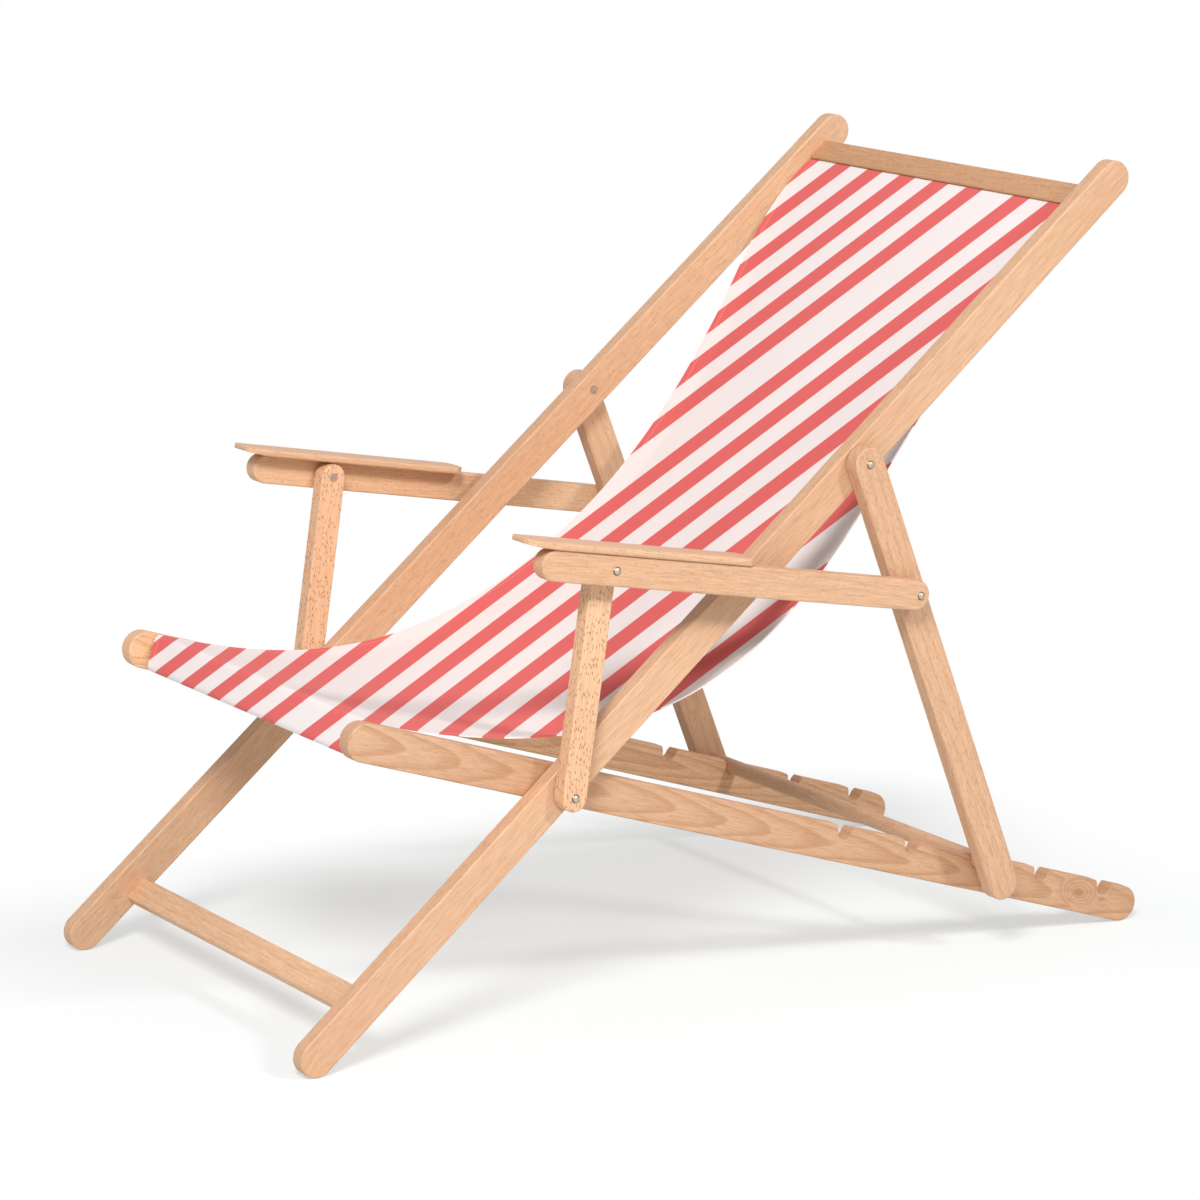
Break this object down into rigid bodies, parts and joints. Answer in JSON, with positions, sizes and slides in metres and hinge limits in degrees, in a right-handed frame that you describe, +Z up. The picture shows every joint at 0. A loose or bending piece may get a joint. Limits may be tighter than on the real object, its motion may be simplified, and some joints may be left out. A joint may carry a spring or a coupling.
{
  "type": "folding deck chair with armrests",
  "caption": "Folding deck chair of pinned wooden frames, with a notched reclining prop, armrests and a striped cloth hung between the top rail and the front bar.",
  "frame": {"origin": "on the floor, under the middle of the outline", "axes": "+Z up, the sitter faces -Y, +X to the sitter's left"},
  "size_m": [0.6312, 1.1172, 0.8859],
  "materials": {
    "beech": "clear satin lacquer",
    "cloth": "plain-weave canvas with red and off-white stripes",
    "steel": "zinc-plated, smooth"
  },
  "bodies": {
    "back_frame": {"back_rail_left": "beech", "back_rail_right": "beech", "top_rail": "beech", "foot_stretcher": "beech", "sling": "cloth", "sling_tacks": "steel", "frame_pins": "steel", "frame_washers": "steel", "prop_pins": "steel", "prop_washers": "steel"},
    "seat_frame": {"seat_rail_left": "beech", "seat_rail_right": "beech", "seat_front_bar": "beech"},
    "prop": {"prop_strut_left": "beech", "prop_strut_right": "beech", "prop_crossbar": "beech", "arm_prop_pin_ends": "steel"},
    "arm_posts": {"arm_post_left": "beech", "arm_post_right": "beech", "arm_post_pins": "steel", "arm_post_washers": "steel"},
    "armrests": {"arm_rail_left": "beech", "arm_rail_right": "beech", "armrest_left": "beech", "armrest_right": "beech", "armrest_dowels": "beech", "arm_prop_pins": "steel", "arm_prop_washers": "steel"}
  },
  "joints": [
    {"name": "seat_fold", "type": "hinge", "parent": "back_frame", "child": "seat_frame", "pos_m": [0, -0.24291, 0.26031], "axis": [1, 0, 0], "range_deg": [0, 57.5], "deforming": ["sling"]},
    {"name": "prop_fold", "type": "hinge", "parent": "back_frame", "child": "prop", "pos_m": [0, 0.12859, 0.57987], "axis": [1, 0, 0], "range_deg": [0, 107]},
    {"name": "post_fold", "type": "hinge", "parent": "back_frame", "child": "arm_posts", "pos_m": [0, -0.24291, 0.26031], "axis": [1, 0, 0], "range_deg": [-41.2, 0]},
    {"name": "arm_fold", "type": "hinge", "parent": "arm_posts", "child": "armrests", "pos_m": [0, -0.20991, 0.50331], "axis": [1, 0, 0], "range_deg": [0, 91.2]}
  ],
  "couplings": [
    {"joint": "post_fold", "follows": "prop_fold", "ratio": -0.3833},
    {"joint": "arm_fold", "follows": "prop_fold", "ratio": 0.85}
  ]
}
